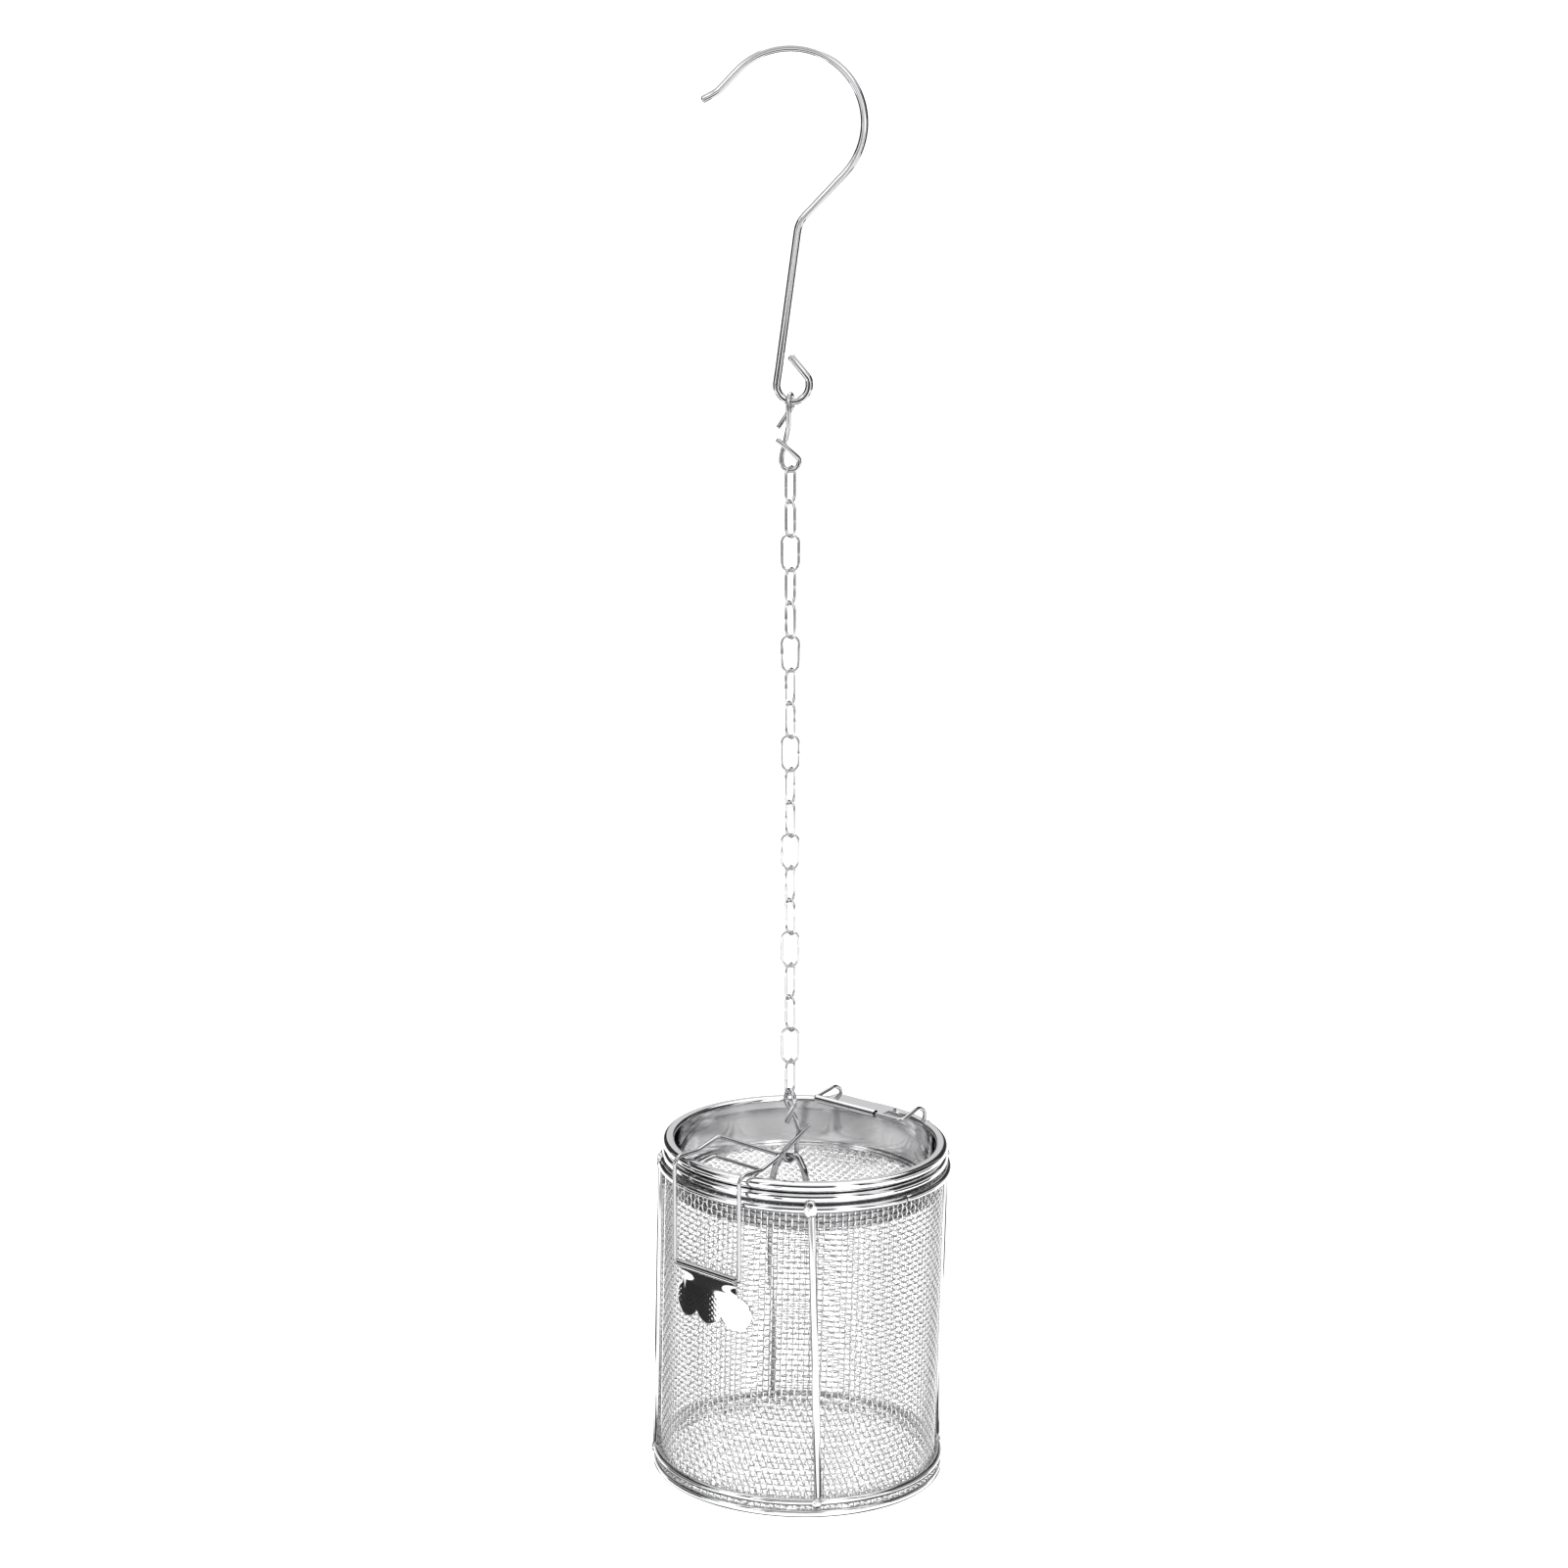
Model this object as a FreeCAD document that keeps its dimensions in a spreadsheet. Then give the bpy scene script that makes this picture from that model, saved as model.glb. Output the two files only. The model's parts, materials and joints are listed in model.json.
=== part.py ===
"""Basket tea infuser with a clamped lid, hanging from a chain and a pot hook.

Frame: millimetres, +Z up. The origin is the seat of the pot hook, the point where the hook rests on a rim
or a rail. The chain hangs straight down the Z axis. The basket has its own frame: upright, its origin at
the middle of its underside. hang() puts it under the chain with its small lean.
"""
import FreeCAD
import Part
import Sketcher
import math
import os
from FreeCAD import Placement, Rotation, Vector

LINK_COUNT = 19
X_AXIS = Vector(1, 0, 0)
Y_AXIS = Vector(0, 1, 0)
Z_AXIS = Vector(0, 0, 1)
FAR_POINT = Vector(500, 500, 500)  # outside every sub-part

# azimuths of each strut's foot and head, from +Y towards +X, degrees
STRUTS = {
    "strut_rear": (-10.0, -15.0),
    "strut_right": (80.0, 80.0),
    "strut_front": (172.1, 177.6),
    "strut_left": (266.0, 266.0),
}

DRIVING = {
    # pot hook
    "hook_wire": 1.9,        # wire diameter
    "hook_arc": 18.1,        # centreline radius of the big bend
    "hook_run": 6.7,         # straight run from the big bend to the lip
    "hook_lip": 4.4,         # length of the lip, which flares outwards
    "hook_shank_top": 41.2,  # depth of the kink where the shank starts, below the seat
    "hook_eye_drop": 85.24,  # depth of the eye's lowest centreline point, below the seat
    "hook_eye_radius": 4.2,  # centreline radius of the eye
    # S-hooks
    "shook_wire": 1.25,
    "shook_height": 19.0,    # centreline height
    "shook_radius": 2.2,     # centreline radius of both loops
    # chain
    "link_wire": 0.75,
    "link_pitch": 8.56,
    "link_width": 4.95,      # outer width
    "link_twist": 60.0,      # turn of each link against the one above, degrees
    "play": 0.05,            # gap between wires that hook together
    "eye_play": 0.16,        # the same at the hook's eye, whose lowest point is less exactly round
    "handle_play": 0.12,     # the same at the lid's handle, whose top is bent more sharply
    # hanging basket
    "lean": 1.33,            # degrees, about +Y
    "handle_x": -3.85,       # handle's place on the lid, basket frame
    "handle_y": -0.6,
    "handle_top": 84.7,      # height of the handle's top wire, centreline
    # basket
    "ring_radius": 37.1,     # centreline radius of the frame rings
    "ring_wire": 2.0,        # wire of the rings and the struts
    "top_ring_z": 82.5,
    "bottom_ring_z": 4.0,
    "mesh_radius": 36.05,    # outside of the mesh wall
    "mesh_sheet": 0.45,      # thickness of the woven mesh
    "rim_outer": 38.0,
    "rim_tall": 1.9,
    "band_outer": 37.0,
    "band_low": 83.7,        # underside of the band's rolled edge
    "band_top": 86.4,
    "band_skirt": 77.0,      # lower edge of the band inside the mesh
    "band_bore": 34.75,
    "sheet": 0.45,           # sheet steel
    # lid
    "lid_seat": 86.7,        # underside of the lid's rolled edge
    "lid_top": 89.2,
    "lid_outer": 37.0,
    "lid_bore": 33.75,
    "plug_top": 34.25,       # outside radius of the plug where it enters the basket
    "plug_low": 33.25,       # outside radius of the plug at its lower edge
    "plug_floor": 75.4,      # height of the plug's lower edge
    "hem_inner": 31.5,
    "hem_top": 77.6,
    "handle_wire": 1.8,
    "handle_width": 12.2,    # outer width at the feet
    "handle_turn": -24.0,    # degrees about Z
    # hinge, behind and to the right
    "hinge_azimuth": 38.0,   # from +Y towards +X, degrees
    "hinge_reach": 37.25,    # distance of the hinge line from the basket's axis
    "hinge_z": 85.6,
    "hinge_pin": 1.2,        # wire of the hinge staples
    "clip_wire": 1.1,        # wire of the hinge loop and of the latch bail
    "leaf_z": 90.35,         # centre of the lid's hinge barrel
    "leaf_reach": 25.0,
    # latch, in front and to the left
    "latch_azimuth": 221.0,
    "latch_reach": 37.25,    # distance of the plate's barrel from the basket's axis
    "latch_z": 62.2,
    "barrel_outer": 1.05,    # radius
    "barrel_bore": 0.62,     # radius
    "barrel_half": 9.7,      # half length
    "bail_half": 10.9,       # half width of the bail
    "lobe_radius": 4.5,
}

HINGE_EYES = (-15.9, 11.9)  # places of the hinge wire's two eyes along the hinge line
HINGE_STAPLE = 5.6          # width of a staple, centre to centre of its legs


class Size:
    """A number with the spreadsheet expression that gives it, so sums of sizes stay bound to the sheet."""

    def __init__(self, value, text):
        self.value = value
        self.text = text

    @staticmethod
    def of(other):
        return other if isinstance(other, Size) else Size(float(other), repr(float(other)))

    def __add__(self, other):
        other = Size.of(other)
        return Size(self.value + other.value, f"({self.text} + {other.text})")

    def __sub__(self, other):
        other = Size.of(other)
        return Size(self.value - other.value, f"({self.text} - {other.text})")

    def __mul__(self, other):
        other = Size.of(other)
        return Size(self.value * other.value, f"({self.text} * {other.text})")

    def __truediv__(self, other):
        other = Size.of(other)
        return Size(self.value / other.value, f"({self.text} / {other.text})")


def make_sheet(doc):
    """The spreadsheet of driving sizes. Returns each size by name."""
    sheet = doc.addObject("Spreadsheet::Sheet", "sizes")
    for row, (name, value) in enumerate(DRIVING.items(), start=1):
        sheet.set(f"A{row}", name)
        sheet.set(f"B{row}", str(value))
        sheet.setAlias(f"B{row}", name)
    doc.recompute()
    return {name: Size(float(sheet.get(name)), f"sizes.{name}") for name in DRIVING}


doc = FreeCAD.newDocument("tea_infuser")
D = make_sheet(doc)
N = {name: size.value for name, size in D.items()}
parts = []


# ---------------------------------------------------------------- places

def hang():
    """Placement of the basket's own frame under the chain."""
    handle_top = chain_levels()["handle"]
    lean = Rotation(Y_AXIS, N["lean"])
    hold = lean.multVec(Vector(N["handle_x"], N["handle_y"], N["handle_top"]))
    return Placement(Vector(0, 0, handle_top) - hold, lean)


def chain_levels():
    """Centreline heights down the chain, from the hook's eye to the lid's handle."""
    eye = -N["hook_eye_drop"]
    hook_on = (N["hook_wire"] + N["shook_wire"]) / 2 + N["eye_play"]
    link_on = (N["shook_wire"] + N["link_wire"]) / 2 + N["play"]
    handle_on = (N["handle_wire"] + N["shook_wire"]) / 2 + N["handle_play"]
    upper_top = eye + hook_on
    upper_low = upper_top - N["shook_height"]
    first_top = upper_low + link_on
    last_low = first_top - (LINK_COUNT - 1) * N["link_pitch"] - link_length()
    lower_top = last_low + link_on
    lower_low = lower_top - N["shook_height"]
    return {
        "upper_top": upper_top,
        "first_top": first_top,
        "lower_top": lower_top,
        "handle": lower_low + handle_on,
    }


def link_length():
    """Centreline length of one link: adjoining links' wires lie one inside the other's bend."""
    return N["link_pitch"] + N["link_wire"] + N["play"]


def polar(azimuth):
    """Placement of a frame at an azimuth of the basket: local +Y points outwards, local +X along the rim."""
    return Placement(Vector(0, 0, 0), Rotation(Z_AXIS, -azimuth))


def finish(obj, label, placement=None):
    """Names a finished sub-part and puts it in place."""
    obj.Label = label
    if placement is not None:
        obj.Placement = placement
    parts.append(obj)
    return obj


# ---------------------------------------------------------------- builders

def origin_plane(body, role):
    return next(f for f in body.Origin.OriginFeatures if f.Role == role)


def lock(sketch, geometry, point, x, y):
    """Fixes a sketch point to two sizes measured from the origin."""
    for kind, size in (("DistanceX", x), ("DistanceY", y)):
        size = Size.of(size)
        index = sketch.addConstraint(Sketcher.Constraint(kind, -1, 1, geometry, point, size.value))
        sketch.setExpression(f"Constraints[{index}]", size.text)


def outline(body, name, role, points):
    """A closed outline on an origin plane. A point is (x, y), or (x, y, bulge) where an arc leads to it.

    bulge is the arc's height over its chord, positive to the left of the direction of travel.
    """
    sketch = body.newObject("Sketcher::SketchObject", name)
    sketch.AttachmentSupport = (origin_plane(body, role), [""])
    sketch.MapMode = "FlatFace"
    corners = [Vector(Size.of(p[0]).value, Size.of(p[1]).value, 0) for p in points]
    count = len(points)
    for i, here in enumerate(corners):
        there = corners[(i + 1) % count]
        target = points[(i + 1) % count]
        if len(target) == 3:
            chord = there - here
            side = Vector(-chord.y, chord.x, 0).normalize()
            middle = (here + there) * 0.5 + side * target[2]
            sketch.addGeometry(Part.Arc(here, middle, there), False)
        else:
            sketch.addGeometry(Part.LineSegment(here, there), False)
    for i, here in enumerate(corners):
        arc = len(points[(i + 1) % count]) == 3
        start = 1
        if arc:
            edge = sketch.Geometry[i]
            start = 1 if edge.StartPoint.distanceToPoint(here) < 1e-6 else 2
            sketch.addConstraint(Sketcher.Constraint("Radius", i, edge.Radius))
        lock(sketch, i, start, points[i][0], points[i][1])
        lock(sketch, i, 3 - start, points[(i + 1) % count][0], points[(i + 1) % count][1])
    return sketch


def turned(label, points, placement=None):
    """A ring-shaped body: an outline of (radius, height) points turned about the basket's axis."""
    body = doc.addObject("PartDesign::Body", label)
    sketch = outline(body, f"{label}_section", "XZ_Plane", points)
    turn = body.newObject("PartDesign::Revolution", f"{label}_turn")
    turn.Profile = sketch
    turn.ReferenceAxis = (sketch, ["V_Axis"])
    turn.Angle = 360.0
    sketch.Visibility = False
    return finish(body, label, placement)


def torus(label, radius, wire, height, placement):
    """A closed wire ring, with its sizes bound to the sheet."""
    ring = doc.addObject("Part::Torus", label)
    ring.setExpression("Radius1", radius.text)
    ring.setExpression("Radius2", (wire / 2).text)
    return finish(ring, label, placement.multiply(Placement(Vector(0, 0, height), Rotation())))


def bent_path(corners):
    """A wire of straight runs joined by tangent arcs. A corner is (point, bend radius)."""
    edges = []
    start = corners[0][0]
    for i in range(1, len(corners) - 1):
        corner, radius = corners[i]
        back = (corners[i - 1][0] - corner).normalize()
        ahead = (corners[i + 1][0] - corner).normalize()
        half = back.getAngle(ahead) / 2
        reach = radius / math.tan(half)
        first = corner + back * reach
        last = corner + ahead * reach
        centre_line = (back + ahead).normalize()
        middle = corner + centre_line * (radius / math.sin(half) - radius)
        if first.distanceToPoint(start) > 1e-4:
            edges.append(Part.LineSegment(start, first).toShape())
        edges.append(Part.Arc(first, middle, last).toShape())
        start = last
    edges.append(Part.LineSegment(start, corners[-1][0]).toShape())
    return Part.Wire(edges)


def wire_shape(label, corners, diameter):
    """The solid of a round wire with square-cut ends along a bent path."""
    path = bent_path(corners)
    first = corners[0][0]
    direction = (corners[1][0] - first).normalize()
    section = Part.Wire([Part.Circle(first, direction, diameter / 2).toShape()])
    shape = path.makePipeShell([section], True, False)
    expected = path.Length * math.pi * diameter**2 / 4
    if abs(shape.Volume - expected) > 0.03 * expected:
        raise ValueError(f"{label}: swept volume {shape.Volume:.2f}, expected {expected:.2f}")
    if shape.isInside(FAR_POINT, 1e-3, True):
        raise ValueError(f"{label}: the swept wire folds back on itself")
    return shape


def feature(label, shape, placement=None):
    """A sub-part made from a finished shape."""
    obj = doc.addObject("Part::Feature", label)
    obj.Shape = shape
    return finish(obj, label, placement)


def bent_wire(label, corners, diameter, placement=None):
    return feature(label, wire_shape(label, corners, diameter), placement)


# ---------------------------------------------------------------- hook and chain

def pot_hook():
    """One wire: lip, big bend, slanting run, shank and a teardrop eye, all in the XZ plane."""
    arc = N["hook_arc"]
    centre = Vector(0, 0, N["hook_wire"] / 2 - arc)

    def on_arc(angle, radius=arc):
        a = math.radians(angle)
        return centre + Vector(radius * math.cos(a), 0, radius * math.sin(a))

    # the big bend runs clockwise over the top, from the lip's run to the slanting run
    lip_angle = 136.4
    run_angle = -42.6
    steps = 3
    span = (lip_angle - run_angle) / steps
    far = arc / math.cos(math.radians(span / 2))
    bend = [(on_arc(lip_angle - span * (i + 0.5), far), arc * 0.9999) for i in range(steps)]
    tangent = Rotation(Y_AXIS, -90).multVec(on_arc(lip_angle) - centre).normalize()
    lip_start = on_arc(lip_angle) + tangent * N["hook_run"]
    lip_end = lip_start + Vector(-0.878, 0, -0.478) * N["hook_lip"]
    eye_low = -N["hook_eye_drop"]
    r = N["hook_eye_radius"]
    eye_x = 0.3  # the eye's two lower corners lie evenly about x = 0.4
    corners = [(lip_end, 0), (lip_start, 6.0)]
    corners += bend
    corners += [
        (Vector(2.0, 0, -N["hook_shank_top"]), 7.0),
        (Vector(-2.75, 0, -76.5), 12.0),
        (Vector(eye_x - r - 0.15, 0, eye_low), r * 0.97),
        (Vector(eye_x + r + 0.35, 0, eye_low), r * 0.97),
        (Vector(eye_x + r + 0.1, 0, eye_low + 5.6), 2.2),
        (Vector(-0.15, 0, -73.9), 0),
    ]
    return bent_wire("pot_hook", corners, N["hook_wire"])


def s_hook(label, top, upper_turn, upper_tail, stem, lower_turn, lower_tail):
    """An S-hook bent by hand, its two loops in different planes and its tails crossing beside the stem.

    The turns are the angles of the loops' planes from XZ. Points are measured from the top of the upper loop.
    """
    r = N["shook_radius"]
    low = -N["shook_height"]
    loop_bend = r * 0.99

    def side(turn, sign, height):
        a = math.radians(turn)
        return Vector(sign * r * math.cos(a), sign * r * math.sin(a), height)

    corners = [
        (upper_tail, 0),
        (side(upper_turn, -1, -3.4), 1.5),
        (side(upper_turn, -1, 0), loop_bend),
        (side(upper_turn, 1, 0), loop_bend),
        (side(upper_turn, 1, -3.6), 3.0),
    ]
    corners += [(point, 3.0) for point in stem]
    corners += [
        (side(lower_turn, -1, low + 3.4), 3.0),
        (side(lower_turn, -1, low), loop_bend),
        (side(lower_turn, 1, low), loop_bend),
        (side(lower_turn, 1, low + 2.9), 1.4),
        (lower_tail, 0),
    ]
    return bent_wire(label, corners, N["shook_wire"], Placement(Vector(0, 0, top), Rotation()))


def upper_s_hook(top):
    """Holds the first link. Its upper loop is edge-on to the pot hook, with the tail behind the stem."""
    upper_tail = Vector(-3.1, 0.9, -8.6)
    stem = [Vector(-0.5, -1.0, -8.0), Vector(-1.2, 0, -11.4)]
    lower_tail = Vector(-3.3, -2.5, -10.8)
    return s_hook("upper_s_hook", top, -103.0, upper_tail, stem, 0.0, lower_tail)


def lower_s_hook(top):
    """Holds the lid's handle. Both of its tails cross in front of the stem."""
    upper_tail = Vector(-0.9, -1.5, -8.4)
    stem = [Vector(1.4, 1.2, -8.0), Vector(2.3, 1.1, -11.5)]
    lower_tail = Vector(5.2, -0.4, -9.3)
    return s_hook("lower_s_hook", top, 120.0, upper_tail, stem, 220.0, lower_tail)


def chain_link(number, top):
    """An obround link: a round wire carried round a track of two straights and two half circles."""
    label = f"chain_link_{number:02d}"
    body = doc.addObject("PartDesign::Body", label)
    wire = D["link_wire"]
    side = (D["link_width"] - wire) / 2
    half = (D["link_pitch"] + wire + D["play"]) / 2 - side
    track = body.newObject("Sketcher::SketchObject", f"{label}_track")
    track.AttachmentSupport = (origin_plane(body, "XZ_Plane"), [""])
    track.MapMode = "FlatFace"
    s, e = side.value, half.value
    up, down = Vector(0, e, 0), Vector(0, -e, 0)
    track.addGeometry(Part.LineSegment(Vector(s, 0, 0), Vector(s, e, 0)), False)
    track.addGeometry(Part.ArcOfCircle(Part.Circle(up, Z_AXIS, s), 0, math.pi), False)
    track.addGeometry(Part.LineSegment(Vector(-s, e, 0), Vector(-s, -e, 0)), False)
    track.addGeometry(Part.ArcOfCircle(Part.Circle(down, Z_AXIS, s), math.pi, 2 * math.pi), False)
    track.addGeometry(Part.LineSegment(Vector(s, -e, 0), Vector(s, 0, 0)), False)
    for left, right in ((0, 1), (1, 2), (2, 3), (3, 4)):
        track.addConstraint(Sketcher.Constraint("Coincident", left, 2, right, 1))
    lock(track, 0, 1, side, 0)
    lock(track, 1, 3, 0, half)
    lock(track, 1, 2, side * -1, half)
    lock(track, 3, 3, 0, half * -1)
    lock(track, 4, 1, side, half * -1)
    section = body.newObject("Sketcher::SketchObject", f"{label}_section")
    section.AttachmentSupport = (origin_plane(body, "XY_Plane"), [""])
    section.MapMode = "FlatFace"
    section.addGeometry(Part.Circle(Vector(s, 0, 0), Z_AXIS, wire.value / 2), False)
    lock(section, 0, 3, side, 0)
    index = section.addConstraint(Sketcher.Constraint("Radius", 0, wire.value / 2))
    section.setExpression(f"Constraints[{index}]", (wire / 2).text)
    doc.recompute()
    pipe = body.newObject("PartDesign::AdditivePipe", f"{label}_pipe")
    pipe.Profile = section
    pipe.Spine = (track, [f"Edge{i + 1}" for i in range(5)])
    turn = (number - 3) * N["link_twist"]
    middle = top - link_length() / 2
    return finish(body, label, Placement(Vector(0, 0, middle), Rotation(Z_AXIS, turn)))


def chain():
    levels = chain_levels()
    upper_s_hook(levels["upper_top"])
    for number in range(1, LINK_COUNT + 1):
        chain_link(number, levels["first_top"] - (number - 1) * N["link_pitch"])
    lower_s_hook(levels["lower_top"])


# ---------------------------------------------------------------- lid

def lid_collar(place):
    """The plug: a tapered sheet collar whose upper edge is rolled over into a bead."""
    bead_mid = (D["lid_seat"] + D["lid_top"]) / 2
    points = [
        (D["plug_top"], D["lid_seat"]),
        (D["lid_outer"] - 0.6, D["lid_seat"]),
        (D["lid_outer"], bead_mid, -0.28),
        (D["lid_outer"] - 1.5, D["lid_top"], -0.3),
        (D["lid_bore"], bead_mid + 0.35, -0.32),
        (D["plug_low"] - D["sheet"], D["plug_floor"] + 2.25),
        (D["plug_low"] - D["sheet"], D["plug_floor"]),
        (D["plug_low"], D["plug_floor"]),
    ]
    return turned("lid_collar", points, place)


def lid_ring(place):
    """The double hem that clamps the mesh into the plug's lower edge."""
    outer = D["plug_low"] - D["sheet"] - 0.03
    waist = (D["plug_floor"] + D["hem_top"]) / 2
    points = [
        (outer, D["plug_floor"] + 0.2),
        (outer, D["hem_top"] - 0.3),
        (D["hem_inner"] + 0.55, waist + 0.15, -0.42),
        (D["hem_inner"], D["plug_floor"] + 0.35, -0.35),
    ]
    return turned("lid_ring", points, place)


def lid_mesh(place):
    """The lid's woven floor. Its edge is clamped in the hem."""
    low = D["plug_floor"] + 0.35
    edge = D["hem_inner"] + 0.7
    points = [(0, low), (edge, low), (edge, low + D["mesh_sheet"]), (0, low + D["mesh_sheet"])]
    return turned("lid_mesh", points, place)


def lid_handle(place):
    """The wire arch that the chain holds, standing on the lid's mesh."""
    foot_x = (N["handle_width"] - N["handle_wire"]) / 2
    foot_z = N["plug_floor"] + 0.35 + N["mesh_sheet"] + 0.25
    shoulder_x = foot_x - 1.3
    shoulder_z = N["handle_top"] - 3.4
    crown_x = 2.1
    corners = [
        (Vector(-foot_x, 0, foot_z), 0),
        (Vector(-shoulder_x, 0, shoulder_z), 2.5),
        (Vector(-crown_x, 0, N["handle_top"]), 2.5),
        (Vector(crown_x, 0, N["handle_top"]), 2.5),
        (Vector(shoulder_x, 0, shoulder_z), 2.5),
        (Vector(foot_x, 0, foot_z), 0),
    ]
    spot = Placement(Vector(N["handle_x"], N["handle_y"], 0), Rotation(Z_AXIS, N["handle_turn"]))
    return bent_wire("lid_handle", corners, N["handle_wire"], place.multiply(spot))


def hinge_leaf(place):
    """A sheet tab that lies on the lid's bead and is rolled into a barrel at its inner edge."""
    outer = N["barrel_outer"]
    length = 2 * N["barrel_half"]
    shift = -2 - N["barrel_half"] - 3.5
    axis = Vector(shift, N["leaf_reach"], N["leaf_z"])
    barrel = Part.makeCylinder(outer, length, axis, X_AXIS)
    bore = Part.makeCylinder(N["barrel_bore"], length, axis, X_AXIS)
    low = N["leaf_z"] - outer
    tab = Part.makeBox(length, 9.3, N["sheet"], Vector(shift, N["leaf_reach"], low))
    shape = barrel.fuse(tab).cut(bore).removeSplitter()
    return feature("hinge_leaf", shape, place.multiply(polar(N["hinge_azimuth"])))


def hinge_wire(place):
    """The loop through the leaf's barrel: two arms arch over the bead and end in eyes on the staples."""
    clearance = 0.08
    eye = (N["hinge_pin"] + N["clip_wire"]) / 2 + clearance
    bend = eye * 0.98
    pin_y, pin_z = N["hinge_reach"], N["hinge_z"]
    left, right = HINGE_EYES

    def arm(x, lean):
        return [
            (Vector(x - lean, N["leaf_reach"], N["leaf_z"]), 1.2),
            (Vector(x, 33.4, 91.8), 3.0),
            (Vector(x, pin_y - eye, 90.4), 1.3),
            (Vector(x, pin_y - eye, pin_z - eye), bend),
            (Vector(x, pin_y + eye, pin_z - eye), bend),
            (Vector(x, pin_y + eye, pin_z + eye), bend),
            (Vector(x, pin_y - 0.3, pin_z + eye), 0),
        ]

    corners = list(reversed(arm(left, 0.6))) + arm(right, -0.6)
    return bent_wire("hinge_wire", corners, N["clip_wire"], place.multiply(polar(N["hinge_azimuth"])))


def lid_catch(place):
    """A small loop inside the bead, in front, that the latch's arms pass on either side."""
    wall = 33.0
    corners = [
        (Vector(-9.2, wall - 0.5, 87.6), 0),
        (Vector(-8.6, 27.2, 89.0), 1.0),
        (Vector(7.2, 27.2, 89.0), 1.0),
        (Vector(8.2, wall - 0.3, 87.6), 0),
    ]
    return bent_wire("lid_catch", corners, 1.0, place.multiply(polar(N["latch_azimuth"])))


# ---------------------------------------------------------------- basket

def basket_band(place):
    """The band round the mouth: a skirt inside the mesh and a rolled edge that the lid closes on."""
    middle = (D["band_low"] + D["band_top"]) / 2
    skirt = D["band_bore"] + D["sheet"]
    points = [
        (D["band_bore"], D["band_skirt"]),
        (skirt, D["band_skirt"]),
        (skirt, D["band_low"]),
        (D["band_outer"] - 0.7, D["band_low"]),
        (D["band_outer"], middle, -0.3),
        (D["band_outer"] - 0.7, D["band_top"], -0.3),
        (D["band_bore"], D["band_top"]),
    ]
    return turned("basket_band", points, place)


def basket_mesh(place):
    """The woven wall."""
    outer = D["mesh_radius"]
    inner = outer - D["mesh_sheet"]
    low = D["rim_tall"] + 0.9
    high = D["band_low"] - 0.1
    points = [(inner, low), (outer, low), (outer, high), (inner, high)]
    return turned("basket_mesh", points, place)


def bottom_mesh(place):
    """The woven floor, caught between the hem and the lower wire ring."""
    low = D["rim_tall"] + 0.15
    edge = D["ring_radius"] + 0.5
    points = [(0, low), (edge, low), (edge, low + D["mesh_sheet"]), (0, low + D["mesh_sheet"])]
    return turned("bottom_mesh", points, place)


def bottom_rim(place):
    """The folded hem that the basket stands on, with a narrow flat underside."""
    outer = D["rim_outer"]
    inner = outer - 2.2
    tall = D["rim_tall"]
    points = [
        (inner + 0.5, 0, -0.22),
        (outer - 0.6, 0),
        (outer, tall / 2, -0.24),
        (outer - 0.6, tall, -0.24),
        (inner + 0.5, tall),
        (inner, tall / 2, -0.22),
    ]
    return turned("bottom_rim", points, place)


def struts(place):
    """Four wires outside the mesh, from the lower ring to the upper one. Two of them lean a little."""
    wire = D["ring_wire"]
    gap = 0.08
    foot = D["bottom_ring_z"] + wire / 2 + gap
    head = D["top_ring_z"] - wire / 2 - gap
    reach = N["ring_radius"] + 0.05
    for name, (low_azimuth, high_azimuth) in STRUTS.items():
        start = polar(low_azimuth).multVec(Vector(0, reach, foot.value))
        end = polar(high_azimuth).multVec(Vector(0, reach, head.value))
        upright = math.cos((end - start).getAngle(Z_AXIS))
        strut = doc.addObject("Part::Cylinder", name)
        strut.setExpression("Radius", (wire / 2).text)
        strut.setExpression("Height", ((head - foot) / upright).text)
        finish(strut, name, place.multiply(Placement(start, Rotation(Z_AXIS, end - start))))


def weld_bead(azimuth, height, wide, tall):
    """A blob of weld on the outside of a ring."""
    stretch = FreeCAD.Matrix()
    stretch.scale(wide, 1.1, tall)
    bead = Part.makeSphere(1.0).transformGeometry(stretch)
    spot = polar(azimuth).multiply(Placement(Vector(0.4, N["ring_radius"] + 0.55, height), Rotation()))
    bead.Placement = spot.multiply(bead.Placement)
    return bead


def strut_welds(place):
    """The weld beads at both ends of each strut, one solid each."""
    beads = []
    for low_azimuth, high_azimuth in STRUTS.values():
        beads.append(weld_bead(high_azimuth, N["top_ring_z"] + 0.3, 1.75, 2.6))
        beads.append(weld_bead(low_azimuth, N["bottom_ring_z"] - 0.2, 1.5, 1.5))
    return feature("strut_welds", Part.makeCompound(beads), place)


def hinge_pin(place):
    """Two wire staples on the band, one in each eye of the hinge wire. Their straight runs are the hinge."""
    reach, z = N["hinge_reach"], N["hinge_z"]
    into_band = 0.35
    bend = 0.8

    def band_y(x):
        return math.sqrt(N["band_outer"] ** 2 - x**2) - into_band

    staples = []
    for middle in HINGE_EYES:
        left = middle - HINGE_STAPLE / 2
        right = middle + HINGE_STAPLE / 2
        corners = [
            (Vector(left, band_y(left), z), 0),
            (Vector(left, reach, z), bend),
            (Vector(right, reach, z), bend),
            (Vector(right, band_y(right), z), 0),
        ]
        staples.append(wire_shape("hinge_pin", corners, N["hinge_pin"]))
    return feature("hinge_pin", Part.makeCompound(staples), place.multiply(polar(N["hinge_azimuth"])))


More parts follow.
